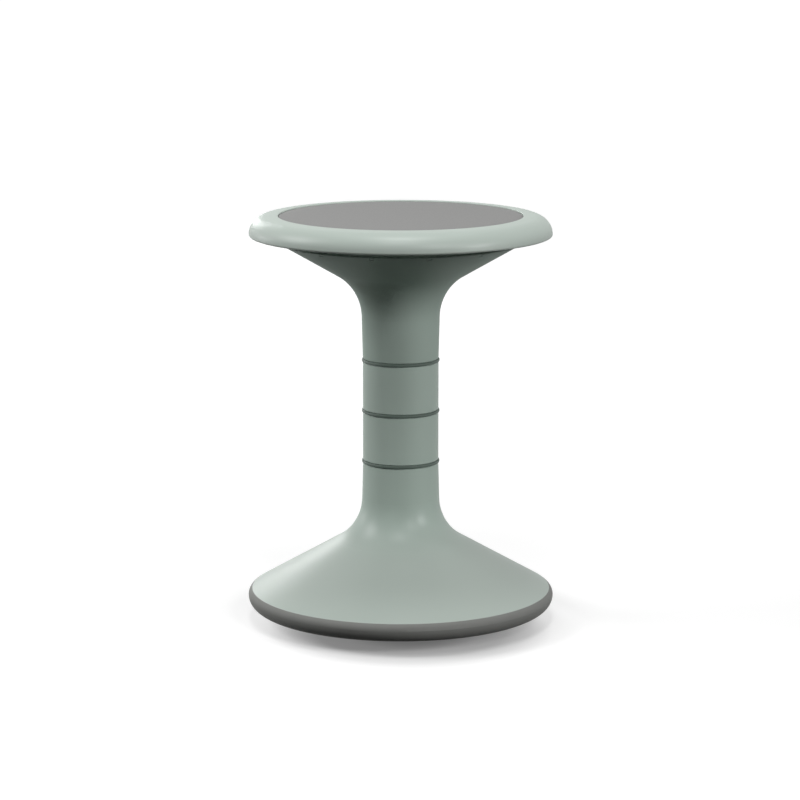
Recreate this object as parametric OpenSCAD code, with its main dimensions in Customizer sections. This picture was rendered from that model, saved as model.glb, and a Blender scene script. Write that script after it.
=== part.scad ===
// Wobble stool: a turned seat, a sectional column and a domed sole, held together by one steel tie rod.
// The origin is the centre of the flat on the floor, +Z is up, and all lengths are in millimetres.

/* [Sole] */
// Radius of the flat that the stool stands on
flat_r = 45; // [35:1:60]
// Radius of the dome that the stool rocks on
dome_r = 700; // [600:10:900]
// Widest radius of the sole
sole_r = 152.5; // [148:0.5:158]
// Radius of the rounding from the dome up to the widest point
toe_r = 12.5; // [10:0.5:15]
// Radius of the shoulder from the widest point up to the flare
shoulder_r = 7.5; // [6:0.5:9]
// Thickness of the rubber under the dome
sole_t = 4; // [3:0.5:5]
// Thickness of the rubber at the widest point
bumper_t = 8; // [7:0.5:9]
// Number of tread grooves
groove_count = 4; // [2:1:4]
// Distance from the widest point in to the outermost tread groove
groove_inset = 30.5; // [28:0.5:34]
// Distance from one tread groove to the next
groove_pitch = 20; // [14:1:22]
// Width of a tread groove
groove_w = 2.5; // [1:0.5:4]
// Depth of a tread groove
groove_d = 1.2; // [0.6:0.1:1.8]

/* [Rocker pan] */
// Wall of the pan
pan_t = 3.5; // [2.5:0.5:5]
// Radius of the rounding between the pan's dome and its rim
pan_toe_r = 8; // [6:0.5:10]
// Number of stiffening ribs in the pan
pan_rib_count = 12; // [6:6:24]
// Thickness of a pan rib
pan_rib_t = 2.5; // [1.5:0.5:4]
// Distance from the pan's rim down to the top of its ribs
pan_rib_drop = 5.3; // [4:0.1:10]
// Outer radius of the tube in the middle of the pan
pan_hub_r = 17; // [13:1:24]
// Number of screw bosses
boss_count = 6; // [3:3:6]
// Distance from the sole's widest point in to the circle that the bosses stand on
boss_inset = 42.5; // [38:0.5:56]
// Outer radius of a boss
boss_r = 8; // [7.5:0.5:10]
// Height above the floor at which bosses and posts meet
boss_z = 32; // [30:0.5:34]
// Thickness of a boss under its screw head
boss_seat_t = 4; // [3:0.5:6]
// Radius of the rubber pegs that plug the bosses
peg_r = 5; // [4:0.5:5]

/* [Pan screws] */
// Radius of a screw
screw_r = 2.4; // [2:0.1:3]
// Radius of a screw head
screw_head_r = 4.8; // [4:0.1:5]
// Height of a screw head
screw_head_h = 3.6; // [2.5:0.1:4.5]
// Length of a screw below its head
screw_l = 17; // [12:1:19]

/* [Flares and column] */
// Outer radius of the column
column_r = 37.5; // [36:0.5:40]
// Wall of the flares and the column sections
wall = 3.5; // [2.5:0.5:4]
// Slope of both flares from the horizontal, in degrees
flare_slope = 30; // [28:1:32]
// Draft of both necks, in degrees
neck_draft = 1.5; // [1:0.5:3]
// Radius of the fillet between a neck and its flare
flare_fillet = 49; // [40:1:55]
// Depth of a neck's web behind the joint
web_depth = 24; // [18:1:28]
// Thickness of a web
web_t = 6; // [4:0.5:8]
// Thickness of a gusset inside a flare
gusset_t = 2.5; // [1.5:0.5:4]
// Depth of a gusset below the skin
gusset_depth = 10; // [6:0.5:11]
// Number of spokes between a section and its hub
spoke_count = 6; // [3:1:8]
// Thickness of a spoke
spoke_t = 2.5; // [1.5:0.5:4]
// Outer radius of the hub round the tie rod
hub_r = 10; // [9:0.5:14]
// Chamfer at the ends of the sections
edge_break = 0.6; // [0.2:0.1:1]

/* [Base flare] */
// Height of the base flare from its edge to the lowest ring
base_flare_h = 127.4; // [122:0.1:135]
// Number of gussets in the base flare
base_gusset_count = 12; // [6:6:12]
// Distance from the sole's widest point in to the ends of the base gussets
base_gusset_inset = 18.5; // [18:0.5:32]
// Radius of the posts that take the pan screws
post_r = 5; // [4:0.5:7]

/* [Column sections] */
// Length of a section between two rings
spacer_h = 47.6; // [40:0.1:60]
// Visible height of a ring
ring_t = 3.2; // [2:0.1:5]
// Distance that a ring stands proud of the column
ring_proud = 1; // [0.5:0.1:2]
// Rounding of a ring's outer edges
ring_round = 1.2; // [0.5:0.1:1.2]
// Length of a ring's collar inside a section
collar_h = 9; // [5:0.5:14]
// Thickness of a collar
collar_t = 2.5; // [1.5:0.5:4]
// Height of the web that closes a collar's slots beside the bead
slot_root = 0.5; // [0.3:0.1:1]

/* [Seat flare] */
// Height of the seat flare from the highest ring to its edge
seat_flare_h = 114.8; // [110:0.1:118]
// Height of the upright land above the edge
land_h = 1; // [0.6:0.1:2]
// Distance from the flare's top down to the gussets that carry the seat
landing_drop = 0.5; // [0.3:0.1:1]
// Number of snap hooks, windows and seat ribs
hook_count = 13; // [7:1:15]
// Width of a hook
hook_w = 4.4; // [3:0.1:7]
// Thickness of a hook's arm
hook_t = 2.5; // [1.5:0.1:3]
// Thickness of a hook's barb
barb_t = 1.2; // [0.8:0.1:1.5]
// Distance from the flare's edge down to the middle of a window
window_drop = 1.8; // [1.6:0.1:4]
// Distance that a barb stays behind the flare's skin
barb_recess = 0.8; // [0.4:0.1:1.5]

/* [Seat] */
// Widest radius of the seat
seat_r = 149.1; // [147:0.1:153]
// Height of the rim's crest above its widest point
rim_drop = 18; // [16:0.5:19]
// Distance from the landing up to the rim's widest point
nose_rise = 8.9; // [7:0.1:11]
// Distance that the rim reaches out past the flare's edge, over the shadow gap
rim_overhang = 31.1; // [28:0.1:34]
// Width of the rim round the pad
rim_w = 29.1; // [28:0.1:33]
// Radius of the crown beside the pad
crown_r = 100; // [80:5:160]
// Radius of the rounding under the rim
lip_r = 2; // [1:0.5:3.5]
// Wall of the seat
seat_t = 4; // [3.5:0.5:5]
// Rounding of the rim's edge beside the pad
pad_edge_r = 0.8; // [0.4:0.1:1.5]
// Thickness of the landing ring, which stands in the flare's mouth on its gussets
landing_t = 3; // [2:0.5:3.5]
// Depth of the ribs under the seat
seat_rib_depth = 17; // [8:1:20]
// Height of the ribs' outer part above the landing
rib_heel = 8.5; // [7:0.5:12]
// Distance from the rim's widest point up to the foot of the brackets under the crown
rim_rib_rise = 3; // [2:0.5:6]
// Thickness of the ribs under the seat
seat_rib_t = 2.5; // [1.5:0.5:4]
// Radius of the ring rib under the seat
ring_rib_r = 66; // [40:1:90]
// Outer radius of the tube in the middle of the seat
seat_hub_r = 22; // [14:1:30]

/* [Pad] */
// Thickness of the pad
pad_t = 6; // [4:0.5:7]
// Distance from the rim's crest down to the pad
pad_drop = 0.9; // [0.2:0.1:1.5]
// Rounding of the pad's upper edge
pad_round = 0.8; // [0.3:0.1:1.5]

/* [Tie rod] */
// Radius of the rod
rod_r = 6; // [5:0.5:7]
// Length of rod past each nut
rod_tail = 4; // [2:1:8]
// Width of a nut across its flats
nut_af = 18; // [17:0.5:20]
// Height of a nut
nut_h = 10; // [8:0.5:12]
// Radius of a washer
washer_r = 12; // [11:0.5:14]
// Thickness of a washer
washer_t = 2.5; // [1.5:0.5:3]
// Radius of a clamp plate
plate_r = 21; // [16:0.5:22]
// Thickness of a clamp plate
plate_t = 4; // [3:0.5:5]

/* [Fits] */
// Gap round a fixed pin or along a seat face
fit_gap = 0.1; // [0.05:0.05:0.2]
// Gap round what slides in at assembly
slide_gap = 0.3; // [0.2:0.1:0.4]
// Gap round the tie rod
rod_gap = 0.5; // [0.3:0.1:0.8]

/* [Hidden] */
$fn = 96;
// Facets of the large circles, fine enough that their short arcs stay true
dome_fn = 1440;
crown_fn = 720;
// Overrun that carries a cut clear of the face it starts from
cut_over = 1;
// Distance by which a flare's straight lines run into its fillet, so that they cross it cleanly
fillet_lap = 0.002;

// Sole outline: centres of the dome, the toe and the shoulder, and the edge that the flare meets
dome_z = sqrt(pow(dome_r, 2) - pow(flat_r, 2));
function toe_z(r, toe, dome) = dome_z - sqrt(pow(dome - toe, 2) - pow(r - toe, 2));
function dome_height(r, inset) = dome_z - sqrt(pow(dome_r - inset, 2) - pow(r, 2));
nose_z = toe_z(sole_r, toe_r, dome_r);
shoulder_c = [sole_r - shoulder_r, nose_z];
seam = shoulder_c + shoulder_r * [sin(flare_slope), cos(flare_slope)];
pan_r = sole_r - bumper_t;
boss_circle_r = sole_r - boss_inset;
base_gusset_r = sole_r - base_gusset_inset;
seat_flare_r = seat_r - rim_overhang;
pad_r = seat_r - rim_w;

// Heights of the stack, from the base flare up to the seat
ring_bottom_z = seam.y + base_flare_h;
spacer_lower_z = ring_bottom_z + ring_t;
ring_middle_z = spacer_lower_z + spacer_h;
spacer_upper_z = ring_middle_z + ring_t;
ring_top_z = spacer_upper_z + spacer_h;
seat_flare_z = ring_top_z + ring_t;
landing_h = seat_flare_h + land_h - landing_drop;
landing_z = seat_flare_z + landing_h;
seat_nose_z = landing_z + nose_rise;
crest_z = seat_nose_z + rim_drop;
pad_z = crest_z - pad_drop - pad_t;
deck_z = pad_z - seat_t;

// Flare outline, as [radius, height from the joint]: directions of the neck and the cone, and their normals
neck_dir = [sin(neck_draft), cos(neck_draft)];
cone_dir = [cos(flare_slope), sin(flare_slope)];
neck_normal = [cos(neck_draft), -sin(neck_draft)];
cone_normal = [sin(flare_slope), -cos(flare_slope)];
fillet_reach = flare_fillet * tan((90 - neck_draft - flare_slope) / 2);
function corner_h(edge) =
    (edge.y - (edge.x - column_r) * tan(flare_slope)) / (1 - tan(neck_draft) * tan(flare_slope));
function corner(edge) = [column_r + corner_h(edge) * tan(neck_draft), corner_h(edge)];
function neck_end(edge, inset) = corner(edge) - fillet_reach * neck_dir - inset * neck_normal;
function cone_start(edge, inset) = corner(edge) + fillet_reach * cone_dir - inset * cone_normal;
function fillet_centre(edge) = neck_end(edge, 0) + flare_fillet * neck_normal;
// Cone at height h, for a skin set in by inset
function cone_r(edge, inset, h) = edge.x - inset / sin(flare_slope) + (h - edge.y) / tan(flare_slope);
function cone_point(edge, inset, h) = [cone_r(edge, inset, h), h];

base_edge = [seam.x, base_flare_h];
seat_edge = [seat_flare_r, seat_flare_h];
base_tip = base_edge - wall * cone_normal;
seat_flare_top = seat_flare_h + land_h;
stack_t = web_depth + web_t;
spoke_start = 180 / spoke_count;
spoke_setback = slot_root + slide_gap;
base_gusset_start = 180 / base_gusset_count;

// Edge of the base flare's inner skin, and the pan's rim close under that skin
lip_z = ring_bottom_z - base_tip.y;
function pan_rim_z(r) = lip_z + (base_tip.x - r) * tan(flare_slope) - fit_gap;
pan_rib_top = pan_rim_z(pan_r - pan_t) - pan_rib_drop;

// Pan screws: undersides of the bosses' seats, and the posts' pilot holes
boss_start = 180 / pan_rib_count;
screw_seat_z = boss_z - boss_seat_t;
pocket_r = screw_head_r + 2 * slide_gap;
pilot_h = screw_l - boss_seat_t + cut_over;

// Seat rim: centres of the crown and of the rounding that meets it
crown_c = [pad_r + slide_gap + pad_edge_r, crest_z - crown_r];
rim_span = seat_r - crown_c.x;
rim_round = (2 * crown_r * rim_drop - pow(rim_span, 2) - pow(rim_drop, 2)) / (2 * (crown_r - rim_span));
rim_c = [seat_r - rim_round, seat_nose_z];
rim_turn = atan2(rim_c.y - crown_c.y, rim_c.x - crown_c.x);
function crown_z(r, inset) = crown_c.y + sqrt(pow(crown_r - inset, 2) - pow(r - crown_c.x, 2));

// Hooks: height of the windows, and the arm's outer face, clear of the flare
window_h = barb_t + 2 * slide_gap;
barb_h = seat_flare_h - window_drop - barb_t / 2;
arm_r = cone_r(seat_edge, wall, barb_h) - slide_gap;
landing_r = cone_r(seat_edge, wall, landing_h) - slide_gap;

// Colours of the mouldings, the rubber and the metal
sage = "#a7b5ab";
pad_grey = "#969694";
ring_grey = "#48524c";
sole_grey = "#6f7270";
pan_black = "#3a3d3c";
steel = "#b4b8bb";

// Point on the ray from c at angle a, past a disc of radius r; neighbours share it, so their edges coincide
past_share = 1.5;
function past(c, r, a) = c + past_share * r * [cos(a), sin(a)];

// Sector of a disc about c, between the angles a and b, at most a third of a turn apart
module sector(c, r, a, b) {
    intersection() {
        translate(c) circle(r);
        polygon([c, past(c, r, a), past(c, r, (a + b) / 2), past(c, r, b)]);
    }
}

// Copies turned about the column, the first one turned by start
module around(count, start = 0) {
    for (i = [0:count - 1]) rotate(start + i * 360 / count) children();
}

// Copies on the bosses' circle, at height z
module at_bosses(z = 0) {
    around(boss_count, boss_start) translate([boss_circle_r, 0, z]) children();
}

// Upright plate along +X, centred on the X axis
module plate(r0, r1, t, z0, z1) {
    translate([r0, -t / 2, z0]) cube([r1 - r0, t, z1 - z0]);
}

// Places what is drawn in a flare's own frame, with its joint at height 0 and its edge above
module in_seat() { translate([0, 0, seat_flare_z]) children(); }
module in_base() { translate([0, 0, ring_bottom_z]) mirror([0, 0, 1]) children(); }

// Half section of a bowl: flat, dome and toe, and above its middle up to height top
module bowl_section(r, toe, inset, top) {
    dome = dome_r - inset;
    toe_c = [r - toe, toe_z(r, toe, dome)];
    turn = atan2(toe_c.y - dome_z, toe_c.x);
    meet = past(toe_c, toe, turn);
    intersection() {
        translate([0, dome_z]) circle(dome, $fn = dome_fn);
        polygon([[0, inset], [toe_c.x, inset], meet, toe_c, [toe_c.x, top], [0, top]]);
    }
    sector(toe_c, toe, turn, 0);
}

// Half section of a bowl with an upright wall above its toe
module dish_section(r, toe, inset, top) {
    bowl_section(r, toe, inset, top);
    toe_top = toe_z(r, toe, dome_r - inset);
    translate([r - toe, toe_top]) square([toe, top - toe_top]);
}

// First points of a flare's outline: the outer skin has a chamfer, and an inner one runs past the joint
function neck_start(inset) = inset == 0
    ? [[0, 0], [column_r - edge_break, 0], [column_r + edge_break * tan(neck_draft), edge_break]]
    : [[0, -cut_over], [column_r - inset / cos(neck_draft) - cut_over * tan(neck_draft), -cut_over]];

// Half section of the space under a flare's skin, set in by inset and closed by the points of end
module flare_section(edge, inset, end) {
    lapped = inset - fillet_lap;
    difference() {
        polygon(concat(neck_start(inset), [neck_end(edge, lapped), cone_start(edge, lapped)], end));
        translate(fillet_centre(edge)) circle(flare_fillet + inset);
    }
}

// Hollow drafted neck and cone; tip lists the points past the skin's edge, and mouth is its inner end
module flare_shell(edge, tip, mouth) {
    past_mouth = mouth + 2 * cut_over * cone_dir;
    rotate_extrude() difference() {
        flare_section(edge, 0, concat([edge], tip, [[0, tip[len(tip) - 1].y]]));
        flare_section(edge, wall, [past_mouth, [0, past_mouth.y]]);
    }
}

// Half section out to the middle of a flare's wall and up to end, for what grows from its inside
module mid_wall_section(edge, end) { flare_section(edge, wall / 2, [end, [0, end.y]]); }

// Radial gussets that follow a flare's skin from the web out to the radius end_r, cut off at end's height
module gussets(edge, end, count, end_r) {
    top = end.y + cut_over;
    intersection() {
        rotate_extrude() difference() {
            mid_wall_section(edge, end);
            flare_section(edge, wall + gusset_depth, [cone_point(edge, wall + gusset_depth, top), [0, top]]);
        }
        around(count) plate(0, end_r, gusset_t, web_depth + web_t / 2, top);
    }
}

// Hub and spokes from a joint up to the heights hub_h and spoke_h: the spokes stand back, clear of a collar
module spokes(hub_h, spoke_h) {
    cylinder(r = hub_r, h = hub_h);
    around(spoke_count, spoke_start) plate(0, column_r - wall / 2, spoke_t, spoke_setback, spoke_h);
}

// Bore for the tie rod through a section of height h
module rod_bore(h) {
    translate([0, 0, -cut_over]) cylinder(r = rod_r + rod_gap, h = h + 2 * cut_over);
}

// Inside of a neck: spokes up to the web, and the tie rod's bore through them
module neck_core() {
    mid_web = web_depth + web_t / 2;
    difference() {
        union() {
            spokes(mid_web, mid_web);
            translate([0, 0, web_depth]) cylinder(r = column_r - wall / 2, h = web_t);
        }
        rod_bore(stack_t);
    }
}

// Flat steel disc with a bore
module disc(r, t, bore) {
    difference() {
        cylinder(r = r, h = t);
        translate([0, 0, -cut_over]) cylinder(r = bore, h = t + 2 * cut_over);
    }
}

module clamp_plate() { translate([0, 0, stack_t]) disc(plate_r, plate_t, rod_r + rod_gap); }
module washer() { translate([0, 0, stack_t + plate_t]) disc(washer_r, washer_t, rod_r + rod_gap); }
module nut() {
    translate([0, 0, stack_t + plate_t + washer_t]) difference() {
        cylinder(d = nut_af / cos(30), h = nut_h, $fn = 6);
        translate([0, 0, -cut_over]) cylinder(r = rod_r + fit_gap, h = nut_h + 2 * cut_over);
    }
}

// Column section: a tube round spokes that run through the slots of the rings' collars
module spacer() {
    rotate_extrude() polygon([[column_r - wall, 0], [column_r - edge_break, 0], [column_r, edge_break],
        [column_r, spacer_h - edge_break], [column_r - edge_break, spacer_h], [column_r - wall, spacer_h]]);
    difference() {
        spokes(spacer_h, spacer_h - spoke_setback);
        rod_bore(spacer_h);
    }
}

// Joint ring: a rounded bead between two sections, with a slotted collar into each
module ring() {
    collar_r = column_r - wall - slide_gap;
    bead_r = column_r + ring_proud;
    slot_w = spoke_t + 2 * slide_gap;
    difference() {
        rotate_extrude() {
            translate([collar_r - collar_t, -collar_h]) square([collar_t, ring_t + 2 * collar_h]);
            translate([collar_r - collar_t, 0]) square([bead_r - ring_round - collar_r + collar_t, ring_t]);
            translate([bead_r - ring_round, ring_round]) square([ring_round, ring_t - 2 * ring_round]);
            sector([bead_r - ring_round, ring_round], ring_round, -90, 0);
            sector([bead_r - ring_round, ring_t - ring_round], ring_round, 0, 90);
        }
        around(spoke_count, spoke_start) {
            plate(hub_r, collar_r + cut_over, slot_w, -collar_h - cut_over, -slot_root);
            plate(hub_r, collar_r + cut_over, slot_w, ring_t + slot_root, ring_t + collar_h + cut_over);
        }
    }
}

module seat_pad() {
    color(pad_grey) translate([0, 0, pad_z]) rotate_extrude() {
        square([pad_r - pad_round, pad_t]);
        square([pad_r, pad_t - pad_round]);
        sector([pad_r - pad_round, pad_t - pad_round], pad_round, 0, 90);
    }
}

// Half section under the rim's skin, set in by inset, down to height bottom and out to radius end_r there
module rim_section(inset, bottom, end_r) {
    meet = past(rim_c, rim_round - inset, rim_turn);
    intersection() {
        translate(crown_c) circle(crown_r - inset, $fn = crown_fn);
        polygon([[crown_c.x, bottom], [rim_c.x, bottom], rim_c, meet, [crown_c.x, meet.y]]);
    }
    sector(rim_c, rim_round - inset, 0, rim_turn);
    polygon([[rim_c.x, bottom], [end_r, bottom], [end_r, rim_c.y], rim_c]);
}

// Seat shell: recess for the pad, rounded rim with an open channel under it, and the landing ring
module seat_section() {
    recess_r = pad_r + slide_gap;
    lip_c = [seat_r - lip_r, seat_nose_z];
    lip_z = lip_c.y - lip_r;
    translate([0, deck_z]) square([recess_r + seat_t, seat_t]);
    translate([recess_r, deck_z]) square([seat_t, crest_z - pad_edge_r - deck_z]);
    sector([crown_c.x, crest_z - pad_edge_r], pad_edge_r, 90, 180);
    difference() {
        rim_section(0, lip_z, lip_c.x);
        rim_section(seat_t, lip_z - cut_over, seat_r - seat_t);
    }
    sector(lip_c, lip_r, -90, 0);
    translate([landing_r - landing_t, landing_z]) square([landing_t, deck_z + seat_t / 2 - landing_z]);
}

// Radial rib under the seat, clear of the flare's gussets, and its bracket under the crown
module seat_rib() {
    start_r = seat_hub_r - seat_rib_t;
    ring_r = landing_r - landing_t / 2;
    wall_r = pad_r + slide_gap + seat_t / 2;
    bottom = deck_z - seat_rib_depth;
    top = deck_z + seat_t / 2;
    in_gusset = wall + gusset_depth;
    knee_r = cone_r(seat_edge, in_gusset, bottom - seat_flare_z - slide_gap);
    translate([0, seat_rib_t / 2]) rotate([90, 0, 0]) linear_extrude(seat_rib_t) {
        polygon([[start_r, bottom], [knee_r, bottom],
            [cone_r(seat_edge, in_gusset, landing_h), landing_z + slide_gap], [ring_r, landing_z + slide_gap],
            [ring_r, landing_z + rib_heel], [wall_r, deck_z], [wall_r, top], [start_r, top]]);
        polygon([[crown_c.x, seat_nose_z + rim_rib_rise], [rim_c.x, crown_z(rim_c.x, seat_t / 2)],
            [crown_c.x, crest_z - seat_t / 2]]);
    }
}

// Snap hook: an arm from the deck, with a barb that reaches into the flare's window
module hook() {
    barb_z = seat_flare_z + barb_h;
    plate(arm_r - hook_t, arm_r, hook_w, barb_z, deck_z + seat_t / 2);
    plate(arm_r - hook_t, cone_r(seat_edge, 0, barb_h) - barb_recess, hook_w, barb_z, barb_z + barb_t);
}

module seat_top() {
    hook_start = -90 + 180 / hook_count;
    color(sage) {
        rotate_extrude() seat_section();
        around(hook_count, -90) seat_rib();
        around(hook_count, hook_start) hook();
        translate([0, 0, deck_z - seat_rib_depth]) {
            disc(seat_hub_r, seat_rib_depth + seat_t / 2, seat_hub_r - seat_rib_t);
            disc(ring_rib_r, seat_rib_depth + seat_t / 2, ring_rib_r - seat_rib_t);
        }
    }
}

module seat_flare() {
    hook_start = -90 + 180 / hook_count;
    mouth = cone_point(seat_edge, wall, seat_flare_top);
    window_z = barb_h - slide_gap;
    color(sage) in_seat() {
        difference() {
            flare_shell(seat_edge, [[seat_edge.x, seat_flare_top]], mouth);
            around(hook_count, hook_start)
                plate(arm_r, seat_flare_r, hook_w + 2 * slide_gap, window_z, window_z + window_h);
        }
        rotate(-90) gussets(seat_edge, cone_point(seat_edge, wall / 2, landing_h), hook_count, seat_flare_r);
        neck_core();
    }
}

module base_flare() {
    post_h = ring_bottom_z - boss_z;
    mid_tip = base_tip + wall / 2 * cone_normal;
    color(sage) in_base() {
        flare_shell(base_edge, [base_tip - cut_over * cone_normal], base_tip);
        neck_core();
        difference() {
            union() {
                rotate(base_gusset_start) gussets(base_edge, mid_tip, base_gusset_count, base_gusset_r);
                intersection() {
                    rotate_extrude() mid_wall_section(base_edge, mid_tip);
                    at_bosses() cylinder(r = post_r, h = post_h);
                }
            }
            at_bosses(post_h - pilot_h) cylinder(r = screw_r + fit_gap, h = pilot_h + cut_over);
        }
    }
}

module rocker_pan() {
    rim_top = pan_rim_z(pan_r - pan_t);
    color(pan_black) difference() {
        union() {
            rotate_extrude() difference() {
                intersection() {
                    dish_section(pan_r, pan_toe_r, sole_t, rim_top);
                    polygon([[0, 0], [pan_r, 0], [pan_r, pan_rim_z(pan_r)],
                        [pan_r - pan_t, rim_top], [0, rim_top]]);
                }
                dish_section(pan_r - pan_t, pan_toe_r - pan_t, sole_t + pan_t, rim_top + cut_over);
            }
            intersection() {
                rotate_extrude()
                    dish_section(pan_r - pan_t / 2, pan_toe_r - pan_t / 2, sole_t + pan_t / 2, boss_z);
                union() {
                    around(pan_rib_count, boss_start)
                        plate(pan_hub_r - pan_rib_t, pan_r, pan_rib_t, 0, pan_rib_top);
                    at_bosses() cylinder(r = boss_r, h = boss_z);
                    cylinder(r = pan_hub_r, h = pan_rib_top);
                }
            }
        }
        translate([0, 0, sole_t + pan_t]) cylinder(r = pan_hub_r - pan_rib_t, h = boss_z);
        at_bosses() {
            cylinder(r = pocket_r, h = screw_seat_z);
            cylinder(r = screw_r + slide_gap, h = boss_z + cut_over);
        }
    }
}

module pan_screws() {
    color(steel) at_bosses(screw_seat_z) {
        cylinder(r = screw_r, h = screw_l);
        translate([0, 0, -screw_head_h]) cylinder(r = screw_head_r, h = screw_head_h);
    }
}

// Rubber sole: a thick bumper under the flare's edge, a thin grooved dome, and pegs up into the bosses
module rubber_sole() {
    toe_x = sole_r - toe_r;
    peg_z = dome_height(boss_circle_r - peg_r, sole_t) - sole_t / 2;
    peg_top = screw_seat_z - screw_head_h - slide_gap;
    color(sole_grey) {
        rotate_extrude() difference() {
            union() {
                bowl_section(sole_r, toe_r, 0, lip_z);
                polygon([[toe_x, nose_z], shoulder_c, seam, [base_tip.x, lip_z], [toe_x, lip_z]]);
                sector(shoulder_c, shoulder_r, 0, 90 - flare_slope);
            }
            dish_section(pan_r, pan_toe_r, sole_t, lip_z + cut_over);
            for (i = [0:groove_count - 1]) tread_groove(sole_r - groove_inset - i * groove_pitch);
        }
        at_bosses(peg_z) cylinder(r = peg_r, h = peg_top - peg_z);
    }
}
module tread_groove(r) {
    translate([r - groove_w / 2, 0]) square([groove_w, dome_height(r, 0) + groove_d]);
}

module tie_rod() {
    reach = stack_t + plate_t + washer_t + nut_h + rod_tail;
    length = seat_flare_z - ring_bottom_z + 2 * reach;
    color(steel) translate([0, 0, ring_bottom_z - reach]) cylinder(r = rod_r, h = length);
}
module top_nut() { color(steel) in_seat() nut(); }
module top_washer() { color(steel) in_seat() washer(); }
module top_clamp_plate() { color(steel) in_seat() clamp_plate(); }
module bottom_nut() { color(steel) in_base() nut(); }
module bottom_washer() { color(steel) in_base() washer(); }
module bottom_clamp_plate() { color(steel) in_base() clamp_plate(); }
module ring_top() { color(ring_grey) translate([0, 0, ring_top_z]) ring(); }
module ring_middle() { color(ring_grey) translate([0, 0, ring_middle_z]) ring(); }
module ring_bottom() { color(ring_grey) translate([0, 0, ring_bottom_z]) ring(); }
module spacer_upper() { color(sage) translate([0, 0, spacer_upper_z]) spacer(); }
module spacer_lower() { color(sage) translate([0, 0, spacer_lower_z]) spacer(); }

seat_pad();
seat_top();
seat_flare();
top_nut();
top_washer();
top_clamp_plate();
tie_rod();
ring_top();
spacer_upper();
ring_middle();
spacer_lower();
ring_bottom();
base_flare();
bottom_clamp_plate();
bottom_washer();
bottom_nut();
rocker_pan();
pan_screws();
rubber_sole();
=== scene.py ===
import bpy
import math
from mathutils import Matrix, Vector


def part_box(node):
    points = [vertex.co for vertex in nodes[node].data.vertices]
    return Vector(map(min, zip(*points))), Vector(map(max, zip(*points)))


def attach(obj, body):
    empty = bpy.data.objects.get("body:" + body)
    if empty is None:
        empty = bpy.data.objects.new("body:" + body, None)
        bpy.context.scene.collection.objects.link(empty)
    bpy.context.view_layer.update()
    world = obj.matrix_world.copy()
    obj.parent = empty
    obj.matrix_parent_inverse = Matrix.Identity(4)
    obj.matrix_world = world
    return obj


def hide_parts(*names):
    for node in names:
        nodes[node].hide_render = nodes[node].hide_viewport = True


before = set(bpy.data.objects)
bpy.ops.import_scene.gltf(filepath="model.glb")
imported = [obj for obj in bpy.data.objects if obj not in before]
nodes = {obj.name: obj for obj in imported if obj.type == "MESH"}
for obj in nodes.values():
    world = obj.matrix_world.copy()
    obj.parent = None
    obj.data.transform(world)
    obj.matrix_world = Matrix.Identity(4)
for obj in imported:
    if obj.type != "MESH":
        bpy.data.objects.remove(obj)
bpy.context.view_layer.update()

scene = bpy.context.scene
scene.view_settings.view_transform = "Standard"
mm = 0.001
level = 0.001 * mm            # within which points lie at one height
upright = 0.99                # least z of a normal that counts as straight up or down
noiseLow, noiseHigh = 0.3, 0.7  # nearly all of a noise texture lies between these
print("Wobble stool: frame loaded with", len(nodes), "pieces")


# Colours are written as sRGB hex and turned to linear here
def linear(colour):
    shares = [int(colour[i:i + 2], 16) / 255 for i in (1, 3, 5)]
    return tuple(c / 12.92 if c <= 0.04045 else ((c + 0.055) / 1.055) ** 2.4 for c in shares) + (1.0,)


# Adds a node with its settings, its fixed values and its links
def addNode(tree, kind, settings={}, values={}, links={}):
    node = tree.nodes.new(kind)
    for name, value in settings.items():
        setattr(node, name, value)
    for socket, value in values.items():
        node.inputs[socket].default_value = value
    for socket, source in links.items():
        tree.links.new(source, node.inputs[socket])
    return node


# A new node material with its output and its object coordinates
def newMaterial(name):
    material = bpy.data.materials.new(name)
    material.use_nodes = True
    tree = material.node_tree
    tree.nodes.clear()
    coords = addNode(tree, "ShaderNodeTexCoord").outputs["Object"]
    output = addNode(tree, "ShaderNodeOutputMaterial")
    return material, tree, coords, output


# Pattern scale that gives features of the given size in millimetres
def perMm(size):
    return 1 / (size * mm)


def dress(names, material):
    for name in names:
        nodes[name].data.materials.clear()
        nodes[name].data.materials.append(material)


# Shell: injection-moulded polypropylene with a spark-eroded grain.
# The grain breaks the gloss into a soft satin sheen, and the pigment drifts slightly across the moulding.
# The column and upper flare carry a greener, darker tint as painted shade.
shellFinish = {
    "colour": "#b9c5bd",      # base and seat
    # Painted shade: a greener, slightly darker tint on the column and upper flare, where the seat's overhang
    # shades them
    "shadeTintColour": "#b4c5bb",  # column and upper flare, a touch greener
    "shadeTintIn": (68, 112),     # mm, the heights between which one turns to the other, up the lower fillet
    "shadeTintOut": (375, 385),      # mm, and where it turns back, about the gap under the rim
    "drift": 90,              # mm, the width of a drift in the pigment
    "driftColour": "#ffffff",
    "driftShare": 0.06,
    "grain": 0.9,             # mm, drawn coarser than the real 0.2 mm so that it shows
    "grainDepth": 0.035,      # mm
    "grainStrength": 0.35,
    "roughness": (0.5, 0.6),  # of the grain's hollows
    "ior": 1.49,
    "specularLevel": 0.06,
    "polish": 0.3,            # share of the surface that is the grain's polished tops
    "polishRoughness": 0.37,
    "polishIor": 1.95,
}
# The upper flare looks duller than the rest, as from a grain with hardly any polished tops
flareFinish = dict(shellFinish, polish=0.03, polishRoughness=0.5)


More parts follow.
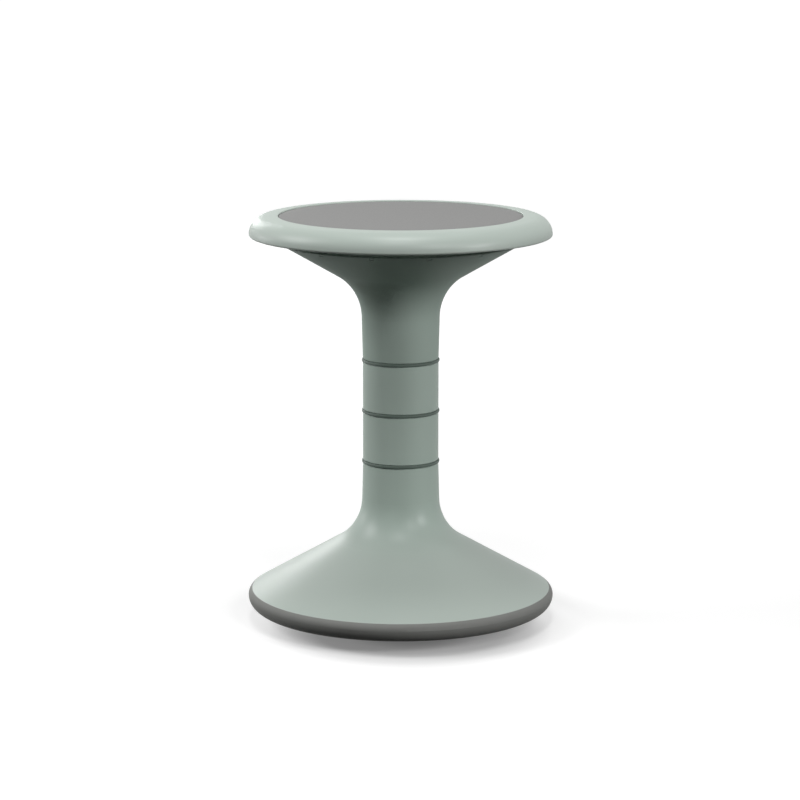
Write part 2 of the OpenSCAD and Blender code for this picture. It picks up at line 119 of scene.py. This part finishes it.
def makeShellPlastic(name, finish):
    material, tree, coords, output = newMaterial(name)
    height = addNode(tree, "ShaderNodeSeparateXYZ", {}, {}, {0: coords}).outputs["Z"]
    rises = []
    for span in (finish["shadeTintIn"], finish["shadeTintOut"]):
        rises.append(addNode(tree, "ShaderNodeMapRange", {"interpolation_type": "SMOOTHSTEP"},
            {"From Min": span[0] * mm, "From Max": span[1] * mm}, {"Value": height}))
    # Painted shade: the tint comes in up the lower fillet and goes out again under the rim
    shadeTint = addNode(tree, "ShaderNodeMath", {"operation": "SUBTRACT", "use_clamp": True}, {},
        {0: rises[0].outputs[0], 1: rises[1].outputs[0]})
    body = addNode(tree, "ShaderNodeMix", {"data_type": "RGBA"}, {6: linear(finish["colour"]),
        7: linear(finish["shadeTintColour"])}, {0: shadeTint.outputs[0]})
    drift = addNode(tree, "ShaderNodeTexNoise", {}, {"Scale": perMm(finish["drift"]),
        "Detail": 2.0, "Roughness": 0.5}, {"Vector": coords})
    lift = addNode(tree, "ShaderNodeMath", {"operation": "MULTIPLY"}, {1: finish["driftShare"]},
        {0: drift.outputs["Fac"]})
    pigment = addNode(tree, "ShaderNodeMix", {"data_type": "RGBA"}, {7: linear(finish["driftColour"])},
        {0: lift.outputs[0], 6: body.outputs[2]})
    grain = addNode(tree, "ShaderNodeTexNoise", {}, {"Scale": perMm(finish["grain"]),
        "Detail": 3.0, "Roughness": 0.6}, {"Vector": coords})
    low, high = finish["roughness"]
    gloss = addNode(tree, "ShaderNodeMapRange", {}, {"From Min": noiseLow, "From Max": noiseHigh,
        "To Min": low, "To Max": high}, {"Value": grain.outputs["Fac"]})
    bump = addNode(tree, "ShaderNodeBump", {},
        {"Strength": finish["grainStrength"], "Distance": finish["grainDepth"] * mm},
        {"Height": grain.outputs["Fac"]})
    shader = addNode(tree, "ShaderNodeBsdfPrincipled", {},
        {"IOR": finish["ior"], "Specular IOR Level": finish["specularLevel"],
        "Coat Weight": finish["polish"], "Coat Roughness": finish["polishRoughness"],
        "Coat IOR": finish["polishIor"]},
        {"Coat Normal": bump.outputs[0], "Base Color": pigment.outputs[2],
        "Roughness": gloss.outputs[0], "Normal": bump.outputs[0]})
    tree.links.new(shader.outputs[0], output.inputs["Surface"])
    return material


# Rings: moulded nylon, dyed through. A smoother tool leaves them a little glossier than the shell.
ringFinish = {
    "colour": "#53625a",
    "grain": 0.7,             # mm, drawn coarser than the real grain so that it shows
    "grainDepth": 0.01,       # mm
    "grainStrength": 0.3,
    "roughness": (0.5, 0.62),
    "ior": 1.5,
}


def makeRingNylon():
    material, tree, coords, output = newMaterial("mouldedNylonDarkGrey")
    grain = addNode(tree, "ShaderNodeTexNoise", {}, {"Scale": perMm(ringFinish["grain"]), "Detail": 2.0},
        {"Vector": coords})
    low, high = ringFinish["roughness"]
    gloss = addNode(tree, "ShaderNodeMapRange", {}, {"From Min": noiseLow, "From Max": noiseHigh,
        "To Min": low, "To Max": high}, {"Value": grain.outputs["Fac"]})
    bump = addNode(tree, "ShaderNodeBump", {},
        {"Strength": ringFinish["grainStrength"], "Distance": ringFinish["grainDepth"] * mm},
        {"Height": grain.outputs["Fac"]})
    shader = addNode(tree, "ShaderNodeBsdfPrincipled", {},
        {"Base Color": linear(ringFinish["colour"]), "IOR": ringFinish["ior"]},
        {"Roughness": gloss.outputs[0], "Normal": bump.outputs[0]})
    tree.links.new(shader.outputs[0], output.inputs["Surface"])
    return material


# Sole: compression-moulded rubber, matt and fine-grained, with the patchy dry bloom that rubber grows
soleFinish = {
    "colour": "#878885",
    "bloom": "#8f908d",
    "bloomSize": 14,          # mm
    "grain": 1.2,             # mm, drawn coarser than the real grain so that it shows
    "grainDepth": 0.07,       # mm
    "grainStrength": 0.4,
    "roughness": 0.6,
    "ior": 1.5,
    "specularLevel": 0.12,
}


def makeSoleRubber():
    material, tree, coords, output = newMaterial("mouldedRubberGrey")
    patches = addNode(tree, "ShaderNodeTexNoise", {}, {"Scale": perMm(soleFinish["bloomSize"]),
        "Detail": 4.0, "Roughness": 0.6}, {"Vector": coords})
    tone = addNode(tree, "ShaderNodeMix", {"data_type": "RGBA"}, {6: linear(soleFinish["colour"]),
        7: linear(soleFinish["bloom"])}, {0: patches.outputs["Fac"]})
    grain = addNode(tree, "ShaderNodeTexNoise", {}, {"Scale": perMm(soleFinish["grain"]),
        "Detail": 3.0, "Roughness": 0.65}, {"Vector": coords})
    bump = addNode(tree, "ShaderNodeBump", {},
        {"Strength": soleFinish["grainStrength"], "Distance": soleFinish["grainDepth"] * mm},
        {"Height": grain.outputs["Fac"]})
    shader = addNode(tree, "ShaderNodeBsdfPrincipled", {},
        {"Roughness": soleFinish["roughness"], "IOR": soleFinish["ior"],
        "Specular IOR Level": soleFinish["specularLevel"]},
        {"Base Color": tone.outputs[2], "Normal": bump.outputs[0]})
    tree.links.new(shader.outputs[0], output.inputs["Surface"])
    return material


# Pad: soft closed-cell foam rubber with a pebbled anti-slip skin, which looks even and nearly without gloss
padFinish = {
    "colour": "#898987",
    # Painted shade: the colour darkens into the hollows between the pebbles, following the bump's depth
    "hollowShade": "#808080",
    "pebble": 1.6,            # mm
    "pebbleDepth": 0.12,      # mm
    "pebbleSmoothness": 0.6,
    "pebbleStrength": 0.5,
    "roughness": 0.7,
    "ior": 1.45,
}


def makePadSkin():
    material, tree, coords, output = newMaterial("pebbledFoamRubberGrey")
    pebbles = addNode(tree, "ShaderNodeTexVoronoi", {"feature": "SMOOTH_F1"},
        {"Scale": perMm(padFinish["pebble"]), "Smoothness": padFinish["pebbleSmoothness"]},
        {"Vector": coords})
    # Painted shade in the pebbles' hollows, mixed by the same distance that sets their depth
    tone = addNode(tree, "ShaderNodeMix", {"data_type": "RGBA"}, {6: linear(padFinish["colour"]),
        7: linear(padFinish["hollowShade"])}, {0: pebbles.outputs["Distance"]})
    bump = addNode(tree, "ShaderNodeBump", {"invert": True},
        {"Strength": padFinish["pebbleStrength"], "Distance": padFinish["pebbleDepth"] * mm},
        {"Height": pebbles.outputs["Distance"]})
    shader = addNode(tree, "ShaderNodeBsdfPrincipled", {},
        {"Roughness": padFinish["roughness"], "IOR": padFinish["ior"]},
        {"Base Color": tone.outputs[2], "Normal": bump.outputs[0]})
    tree.links.new(shader.outputs[0], output.inputs["Surface"])
    return material


# Pan: black glass-filled polypropylene, in which the fibres leave short pale streaks at the surface
panFinish = {
    "colour": "#2b2d2c",
    "fibre": "#3c3f3e",
    "fibreLength": 3.0,       # mm
    "roughness": 0.5,
    "ior": 1.49,
}


def makePanPlastic():
    material, tree, coords, output = newMaterial("glassFilledPolypropyleneBlack")
    fibres = addNode(tree, "ShaderNodeTexNoise", {}, {"Scale": perMm(panFinish["fibreLength"]),
        "Detail": 6.0, "Roughness": 0.7, "Distortion": 1.5}, {"Vector": coords})
    tone = addNode(tree, "ShaderNodeMix", {"data_type": "RGBA"}, {6: linear(panFinish["colour"]),
        7: linear(panFinish["fibre"])}, {0: fibres.outputs["Fac"]})
    shader = addNode(tree, "ShaderNodeBsdfPrincipled", {},
        {"Roughness": panFinish["roughness"], "IOR": panFinish["ior"]}, {"Base Color": tone.outputs[2]})
    tree.links.new(shader.outputs[0], output.inputs["Surface"])
    return material


# Hardware: zinc-plated steel, bright with a faint mottle from the plating bath
steelFinish = {
    "colour": "#c3c6c8",
    "mottle": "#aeb2b6",
    "mottleSize": 4.0,        # mm
    "roughness": (0.26, 0.4),
}


def makeZincSteel():
    material, tree, coords, output = newMaterial("zincPlatedSteel")
    mottle = addNode(tree, "ShaderNodeTexNoise", {}, {"Scale": perMm(steelFinish["mottleSize"]),
        "Detail": 4.0}, {"Vector": coords})
    tone = addNode(tree, "ShaderNodeMix", {"data_type": "RGBA"}, {6: linear(steelFinish["colour"]),
        7: linear(steelFinish["mottle"])}, {0: mottle.outputs["Fac"]})
    low, high = steelFinish["roughness"]
    gloss = addNode(tree, "ShaderNodeMapRange", {}, {"From Min": noiseLow, "From Max": noiseHigh,
        "To Min": low, "To Max": high}, {"Value": mottle.outputs["Fac"]})
    shader = addNode(tree, "ShaderNodeBsdfPrincipled", {}, {"Metallic": 1.0},
        {"Base Color": tone.outputs[2], "Roughness": gloss.outputs[0]})
    tree.links.new(shader.outputs[0], output.inputs["Surface"])
    return material


shellPlastic = makeShellPlastic("mouldedPolypropyleneSage", shellFinish)
flarePlastic = makeShellPlastic("mouldedPolypropyleneSageMatt", flareFinish)
ringNylon = makeRingNylon()
soleRubber = makeSoleRubber()
padSkin = makePadSkin()
panPlastic = makePanPlastic()
zincSteel = makeZincSteel()
dress(["seat_top", "spacer_upper", "spacer_lower", "base_flare"], shellPlastic)
dress(["seat_flare"], flarePlastic)
dress(["ring_top", "ring_middle", "ring_bottom"], ringNylon)
dress(["rubber_sole"], soleRubber)
dress(["rocker_pan"], panPlastic)
dress(["top_nut", "top_washer", "top_clamp_plate", "tie_rod", "bottom_clamp_plate", "bottom_washer",
    "bottom_nut", "pan_screws"], zincSteel)
print("Finishes: moulded plastics, rubber, foam and zinc plate")


# Seat pad: a disc of foam with a rolled edge, which sinks a little toward the middle
padShape = {
    "segments": 192,
    "edgeRadius": 0.9,        # mm, rolled upper edge
    "edgeSteps": 4,
    "rings": 8,               # inset rings that carry the dish
    "ringShare": 0.98,        # of an even step, so that the last ring doesn't close on itself
    "dish": 0.25,             # mm, by which the middle lies lower than the edge
    "smoothAngle": 40,        # degrees
}


def deselectAll():
    bpy.ops.object.select_all(action="DESELECT")


def makeSeatPad():
    low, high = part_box("seat_pad")
    radius = (high.x - low.x) / 2
    depth = high.z - low.z
    deselectAll()
    bpy.ops.mesh.primitive_cylinder_add(vertices=padShape["segments"], radius=radius, depth=depth,
        location=(0, 0, (low.z + high.z) / 2))
    pad = bpy.context.object
    pad.name = "seatPadFoam"
    bpy.ops.object.transform_apply(location=True)
    bpy.ops.object.mode_set(mode="EDIT")
    bpy.ops.mesh.select_all(action="DESELECT")
    bpy.ops.object.mode_set(mode="OBJECT")
    for edge in pad.data.edges:
        ends = [pad.data.vertices[i].co for i in edge.vertices]
        edge.select = all(abs(end.z - high.z) < level for end in ends)
    bpy.ops.object.mode_set(mode="EDIT")
    bpy.ops.mesh.select_mode(type="EDGE")
    bpy.ops.mesh.bevel(offset=padShape["edgeRadius"] * mm, segments=padShape["edgeSteps"], affect="EDGES")
    bpy.ops.mesh.select_all(action="DESELECT")
    bpy.ops.mesh.select_mode(type="FACE")
    bpy.ops.object.mode_set(mode="OBJECT")
    for face in pad.data.polygons:
        face.select = face.normal.z > upright and face.center.z > high.z - level
    bpy.ops.object.mode_set(mode="EDIT")
    step = radius / (padShape["rings"] + 1)
    for ring in range(padShape["rings"]):
        bpy.ops.mesh.inset(thickness=step * padShape["ringShare"],
            depth=-padShape["dish"] * mm / padShape["rings"])
    bpy.ops.mesh.select_all(action="DESELECT")
    bpy.ops.object.mode_set(mode="OBJECT")
    bpy.ops.object.shade_smooth_by_angle(angle=math.radians(padShape["smoothAngle"]))
    pad.data.materials.append(padSkin)
    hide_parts("seat_pad")
    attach(pad, "root")


makeSeatPad()
print("Seat pad: rolled edge and shallow dish")


# Hardware: what the rod, the nuts and the screws share
hardware = {
    "sides": 48,              # of a round body
    "smoothAngle": 35,        # degrees
    "weld": 0.001,            # mm, between points that are merged
    "allowance": 0.01,        # mm, by which a trimming body is wider than the piece, so no faces coincide
    "overrun": 1.0,           # mm, by which a cutting body runs out of the piece
}


def finishSteel(piece, name, node):
    piece.name = name
    deselectAll()
    piece.select_set(True)
    bpy.context.view_layer.objects.active = piece
    bpy.ops.object.mode_set(mode="EDIT")
    bpy.ops.mesh.select_all(action="SELECT")
    bpy.ops.mesh.remove_doubles(threshold=hardware["weld"] * mm)
    bpy.ops.mesh.normals_make_consistent(inside=False)
    bpy.ops.object.mode_set(mode="OBJECT")
    bpy.ops.object.shade_smooth_by_angle(angle=math.radians(hardware["smoothAngle"]))
    piece.data.materials.clear()
    piece.data.materials.append(zincSteel)
    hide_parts(node)
    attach(piece, "root")


def applyModifier(piece, kind, settings):
    deselectAll()
    piece.select_set(True)
    bpy.context.view_layer.objects.active = piece
    modifier = piece.modifiers.new(kind.lower(), kind)
    for name, value in settings.items():
        setattr(modifier, name, value)
    bpy.ops.object.modifier_apply(modifier=modifier.name)


# Cuts, trims or joins a piece with a second one, which is used up
def combine(piece, tool, operation):
    applyModifier(piece, "BOOLEAN", {"operation": operation, "solver": "EXACT", "object": tool})
    bpy.data.objects.remove(tool)


# An upright prism between two heights. Its caps are drawn in by inset, over chamfers as high as lead.
def makeTurned(sides, radius, low, high, lead=0.0, inset=0.0, turn=0.0):
    deselectAll()
    bpy.ops.mesh.primitive_cylinder_add(vertices=sides, radius=radius, depth=high - low - 2 * lead,
        location=(0, 0, (low + high) / 2), rotation=(0, 0, turn))
    turned = bpy.context.object
    bpy.ops.object.transform_apply(location=True, rotation=True)
    if inset:
        bpy.ops.object.mode_set(mode="EDIT")
        bpy.ops.mesh.select_mode(type="FACE")
        bpy.ops.mesh.select_all(action="DESELECT")
        bpy.ops.object.mode_set(mode="OBJECT")
        for face in turned.data.polygons:
            face.select = abs(face.normal.z) > upright
        bpy.ops.object.mode_set(mode="EDIT")
        bpy.ops.mesh.inset(thickness=inset, depth=lead)
        bpy.ops.object.mode_set(mode="OBJECT")
    return turned


threadShape = {
    "profile": ((1, 0.4), (0, 0.12), (-1, 0.4), (0, 0.08)),  # steps outward in depths, and upward in pitches
    "steps": 24,              # in one turn
    "weld": 0.01,             # mm
    "overrun": 0.5,           # mm, past the piece's ends, which the trimming body then sets
}


# A threaded bar. Its profile, one pitch high, runs up a helix from start, and its ends are cut square.
def makeThread(radius, depth, pitch, start, low, high):
    deselectAll()
    bpy.ops.mesh.primitive_plane_add(size=depth, location=(radius - depth, 0, start))
    thread = bpy.context.object
    bpy.ops.object.transform_apply(location=True)
    bpy.ops.object.mode_set(mode="EDIT")
    bpy.ops.mesh.select_mode(type="VERT")
    bpy.ops.mesh.select_all(action="SELECT")
    bpy.ops.mesh.merge(type="CENTER")
    for out, share in threadShape["profile"]:
        bpy.ops.mesh.extrude_region_move(
            TRANSFORM_OT_translate={"value": (out * depth, 0, share * pitch)})
    bpy.ops.object.mode_set(mode="OBJECT")
    turns = math.ceil((high - start) / pitch) + 1
    steps = threadShape["steps"]
    applyModifier(thread, "SCREW", {"axis": "Z", "screw_offset": pitch, "iterations": turns,
        "steps": steps, "render_steps": steps, "use_merge_vertices": False})
    bpy.ops.object.mode_set(mode="EDIT")
    bpy.ops.mesh.select_all(action="SELECT")
    bpy.ops.mesh.remove_doubles(threshold=threadShape["weld"] * mm)
    bpy.ops.mesh.bisect(plane_co=(0, 0, low), plane_no=(0, 0, 1), use_fill=True, clear_inner=True)
    bpy.ops.mesh.select_all(action="SELECT")
    bpy.ops.mesh.bisect(plane_co=(0, 0, high), plane_no=(0, 0, 1), use_fill=True, clear_outer=True)
    bpy.ops.mesh.select_all(action="SELECT")
    bpy.ops.mesh.normals_make_consistent(inside=False)
    bpy.ops.object.mode_set(mode="OBJECT")
    return thread


# Tie rod: steel bar with a rolled metric thread of 12 mm and chamfered ends
rodShape = {
    "pitch": 1.75,            # mm
    "threadDepth": 0.95,      # mm
    "runUp": 2.13,            # pitches below the rod, not whole, so that the cut crosses the profile's faces
    "endLead": 0.9,           # mm, height of the chamfers
    "endInset": 1.0,          # mm, their depth
}


def makeTieRod():
    low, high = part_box("tie_rod")
    radius, pitch = (high.x - low.x) / 2, rodShape["pitch"] * mm
    overrun = threadShape["overrun"] * mm
    rod = makeThread(radius, rodShape["threadDepth"] * mm, pitch, low.z - rodShape["runUp"] * pitch,
        low.z - overrun, high.z + overrun)
    ends = makeTurned(hardware["sides"], radius + hardware["allowance"] * mm, low.z, high.z,
        rodShape["endLead"] * mm, rodShape["endInset"] * mm)
    combine(rod, ends, "INTERSECT")
    finishSteel(rod, "tieRodThreaded", "tie_rod")


# Nuts: hexagons with chamfered corners, threaded on the rod's own helix
nutShape = {
    "bore": 0.1,              # mm, by which the thread clears the rod's
    "turn": 30,               # degrees, so that the corners point along x
    "chamferSides": 96,
    "cornerLead": 1.05,       # mm, height of the corners' chamfers
    "cornerInset": 1.85,      # mm, their depth
}


def makeNut(node, name):
    rodLow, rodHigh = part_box("tie_rod")
    low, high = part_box(node)
    corner, pitch = (high.x - low.x) / 2, rodShape["pitch"] * mm
    bore = (rodHigh.x - rodLow.x) / 2 + nutShape["bore"] * mm
    nut = makeTurned(6, corner, low.z, high.z, turn=math.radians(nutShape["turn"]))
    corners = makeTurned(nutShape["chamferSides"], corner + hardware["allowance"] * mm, low.z, high.z,
        nutShape["cornerLead"] * mm, nutShape["cornerInset"] * mm)
    combine(nut, corners, "INTERSECT")
    # Whole turns from the rod's start, so that both threads lie on one helix
    turnsBelow = math.floor((low.z - rodLow.z) / pitch) - 1
    start = rodLow.z + (turnsBelow - rodShape["runUp"]) * pitch
    overrun = threadShape["overrun"] * mm
    thread = makeThread(bore, rodShape["threadDepth"] * mm, pitch, start, low.z - overrun, high.z + overrun)
    combine(nut, thread, "DIFFERENCE")
    finishSteel(nut, name, node)


# Pan screws: pan heads with a hexagon socket and a coarse thread for plastic, the heads downward
screwShape = {
    "headRadius": 4.8,        # mm
    "headHeight": 3.6,        # mm
    "headRound": 1.7,         # mm
    "socketRadius": 2.3,      # mm
    "socketDepth": 2.2,       # mm
    "radius": 2.4,            # mm
    "pitch": 2.0,             # mm
    "threadDepth": 0.6,       # mm
    "rooted": 0.4,            # mm, by which the thread runs on into the head
    "tipLead": 2.2,           # mm, height of the blunt tip
    "tipInset": 1.3,          # mm
    "circle": 110.0,          # mm, radius of the circle that the screws stand on
    "runUp": 2.37,            # pitches below the seat of the head, not whole, like the rod's
    "roundSteps": 5,          # in the rounding of the head
    "count": 6,
    "first": 15.0,            # degrees, where the first stands
}


def makePanScrews():
    low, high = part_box("pan_screws")
    radius, pitch = screwShape["radius"] * mm, screwShape["pitch"] * mm
    tipLead, overrun = screwShape["tipLead"] * mm, hardware["overrun"] * mm
    seat = low.z + screwShape["headHeight"] * mm
    screw = makeThread(radius, screwShape["threadDepth"] * mm, pitch, seat - screwShape["runUp"] * pitch,
        seat - screwShape["rooted"] * mm, high.z + threadShape["overrun"] * mm)
    tip = makeTurned(hardware["sides"], radius + hardware["allowance"] * mm, seat - tipLead - overrun,
        high.z, tipLead, screwShape["tipInset"] * mm)
    combine(screw, tip, "INTERSECT")
    head = makeTurned(hardware["sides"], screwShape["headRadius"] * mm, low.z, seat)
    bpy.ops.object.mode_set(mode="EDIT")
    bpy.ops.mesh.select_mode(type="EDGE")
    bpy.ops.mesh.select_all(action="DESELECT")
    bpy.ops.object.mode_set(mode="OBJECT")
    for edge in head.data.edges:
        edge.select = all(abs(head.data.vertices[i].co.z - low.z) < level for i in edge.vertices)
    bpy.ops.object.mode_set(mode="EDIT")
    bpy.ops.mesh.bevel(offset=screwShape["headRound"] * mm, segments=screwShape["roundSteps"],
        affect="EDGES")
    bpy.ops.object.mode_set(mode="OBJECT")
    combine(screw, head, "UNION")
    socket = makeTurned(6, screwShape["socketRadius"] * mm, low.z - overrun,
        low.z + screwShape["socketDepth"] * mm)
    combine(screw, socket, "DIFFERENCE")
    screws = [screw]
    while len(screws) < screwShape["count"]:
        another = screw.copy()
        another.data = screw.data.copy()
        scene.collection.objects.link(another)
        screws.append(another)
    circle = screwShape["circle"] * mm
    deselectAll()
    for turn, piece in enumerate(screws):
        angle = math.radians(screwShape["first"] + turn * 360 / screwShape["count"])
        piece.location = (math.cos(angle) * circle, math.sin(angle) * circle, 0)
        piece.select_set(True)
    bpy.context.view_layer.objects.active = screw
    bpy.ops.object.join()
    bpy.ops.object.transform_apply(location=True)
    finishSteel(screw, "panScrewSet", "pan_screws")


makeTieRod()
makeNut("top_nut", "topNutChamfered")
makeNut("bottom_nut", "bottomNutChamfered")
makePanScrews()
print("Hardware: threaded rod, chamfered nuts and pan screws")


# One for the rays that see the backdrop as white: the camera's, and those in gloss and through clear parts
def addSeen(tree):
    path = addNode(tree, "ShaderNodeLightPath")
    seen = addNode(tree, "ShaderNodeMath", {"operation": "ADD"}, {},
        {0: path.outputs["Is Camera Ray"], 1: path.outputs["Is Glossy Ray"]})
    return addNode(tree, "ShaderNodeMath", {"operation": "ADD", "use_clamp": True}, {},
        {0: seen.outputs[0], 1: path.outputs["Is Transmission Ray"]}).outputs[0]


# Floor: matt white paper. A painted glow keeps it white to the eye; weak about the stool, it paints the
# shape of the soft shadow over the lamps' real one.
paperSweep = {
    "size": 30.0,             # m
    "colour": "#c8c8c8",
    "bounceColour": "#0c0c0c",  # what the floor sends back up at the object
    # Painted shadow: the glow is weakest about this place, which lies a little in front of the stool's axis
    "paintedShadowPlace": (0.01, -0.055),  # m, the middle of the stool's shadow on the paper
    "glowReach": 6.0,         # m
    # Metres from there and the share of the painted glow: little in the painted shadow, and all of it beyond
    # the lamps
    "glow": ((0.055, 0.14), (0.07, 0.21), (0.1, 0.23), (0.109, 0.27), (0.116, 0.35), (0.126, 0.46),
        (0.137, 0.55), (0.15, 0.64), (0.2, 0.57), (0.5, 0.55), (1.25, 0.67), (2.9, 0.83), (6.0, 1.0)),
}


def makeFloor():
    deselectAll()
    bpy.ops.mesh.primitive_plane_add(size=paperSweep["size"], location=(0, 0, 0))
    floor = bpy.context.object
    floor.name = "studioFloor"
    material, tree, coords, output = newMaterial("palePaperSweep")
    seen = addSeen(tree)
    colour = addNode(tree, "ShaderNodeMix", {"data_type": "RGBA"}, {6: linear(paperSweep["bounceColour"]),
        7: linear(paperSweep["colour"])}, {0: seen})
    paper = addNode(tree, "ShaderNodeBsdfDiffuse", {}, {}, {"Color": colour.outputs[2]})
    across, forward = paperSweep["paintedShadowPlace"]
    centred = addNode(tree, "ShaderNodeMapping", {}, {"Location": (-across, -forward, 0)},
        {"Vector": coords})
    fromAxis = addNode(tree, "ShaderNodeVectorMath", {"operation": "LENGTH"}, {}, {0: centred.outputs[0]})
    share = addNode(tree, "ShaderNodeMath", {"operation": "DIVIDE"}, {1: paperSweep["glowReach"]},
        {0: fromAxis.outputs["Value"]})
    # Painted shadow: the glow rises with the distance from the painted shadow's middle
    rise = addNode(tree, "ShaderNodeValToRGB", {}, {}, {"Fac": share.outputs[0]})
    stops = rise.color_ramp.elements
    while len(stops) < len(paperSweep["glow"]):
        stops.new(1.0)
    for stop, (reach, glowShare) in zip(stops, paperSweep["glow"]):
        stop.position = reach / paperSweep["glowReach"]
        stop.color = (glowShare, glowShare, glowShare, 1.0)
    glowLevel = addNode(tree, "ShaderNodeMath", {"operation": "MULTIPLY"}, {},
        {0: seen, 1: rise.outputs["Color"]})
    glow = addNode(tree, "ShaderNodeEmission", {}, {}, {"Strength": glowLevel.outputs[0]})
    both = addNode(tree, "ShaderNodeAddShader", {}, {}, {0: paper.outputs[0], 1: glow.outputs[0]})
    tree.links.new(both.outputs[0], output.inputs["Surface"])
    floor.data.materials.append(material)


# World: white where it is seen, and a weak fill for the object
surround = {"colour": "#ffffff", "fill": 0.12}


def makeWorld():
    world = bpy.data.worlds.new("studioWorld")
    scene.world = world
    world.use_nodes = True
    tree = world.node_tree
    tree.nodes.clear()
    strength = addNode(tree, "ShaderNodeMapRange", {}, {"To Min": surround["fill"], "To Max": 1.0},
        {"Value": addSeen(tree)})
    sky = addNode(tree, "ShaderNodeBackground", {}, {"Color": linear(surround["colour"])},
        {"Strength": strength.outputs[0]})
    addNode(tree, "ShaderNodeOutputWorld", {}, {}, {"Surface": sky.outputs[0]})


# Camera: placed as the photograph's perspective asks
view = {
    "place": (0.0, -2.83507, 0.753345),  # m
    "tilt": 79.3774,          # degrees
    "lens": 130.85,           # mm
    "sensor": 36.0,           # mm
    "shift": -0.000875,       # of the picture's width
    "farClip": 100,           # m
}


def makeCamera():
    camera = bpy.data.objects.new("photoCamera", bpy.data.cameras.new("photoCamera"))
    scene.collection.objects.link(camera)
    camera.location = view["place"]
    camera.rotation_euler = (math.radians(view["tilt"]), 0, 0)
    camera.data.lens = view["lens"]
    camera.data.sensor_width = view["sensor"]
    camera.data.shift_x = view["shift"]
    camera.data.clip_end = view["farClip"]
    scene.camera = camera


# Softboxes, each aimed at the middle of the stool: degrees of azimuth from the camera's side toward the
# right, degrees of elevation, width and height in metres, and watts
softboxes = {
    "leftBox": {"azimuth": -90, "elevation": 33, "width": 1.2, "height": 1.2, "watts": 35},
    "rightBox": {"azimuth": 60, "elevation": 19, "width": 0.6, "height": 0.6, "watts": 24},
    "overheadBox": {"azimuth": 0, "elevation": 86, "width": 0.6, "height": 0.6, "watts": 21.5},
    "frontRightBox": {"azimuth": 29, "elevation": 33, "width": 0.6, "height": 0.6, "watts": 13.5},
    "frontTopBox": {"azimuth": -4, "elevation": 60, "width": 0.6, "height": 0.6, "watts": 12},
    "backLeftBox": {"azimuth": -160, "elevation": 15, "width": 0.6, "height": 0.6, "watts": 12.5},
    "backLeftLowBox": {"azimuth": -124, "elevation": 7, "width": 0.8, "height": 0.6, "watts": 10},
}
softboxDistance = 3.0         # m
aimHeight = 0.2               # m


def makeSoftbox(name, box):
    lamp = bpy.data.lights.new(name, "AREA")
    lamp.shape = "RECTANGLE"
    lamp.size = box["width"]
    lamp.size_y = box["height"]
    lamp.energy = box["watts"]
    holder = bpy.data.objects.new(name, lamp)
    scene.collection.objects.link(holder)
    turn = math.radians(box["azimuth"])
    rise = math.radians(box["elevation"])
    outward = Vector((math.sin(turn) * math.cos(rise), -math.cos(turn) * math.cos(rise), math.sin(rise)))
    holder.location = Vector((0, 0, aimHeight)) + outward * softboxDistance
    holder.rotation_euler = outward.to_track_quat("Z", "Y").to_euler()


makeFloor()
makeWorld()
makeCamera()
for name, box in softboxes.items():
    makeSoftbox(name, box)
print("Studio: floor, camera and", len(softboxes), "softboxes")
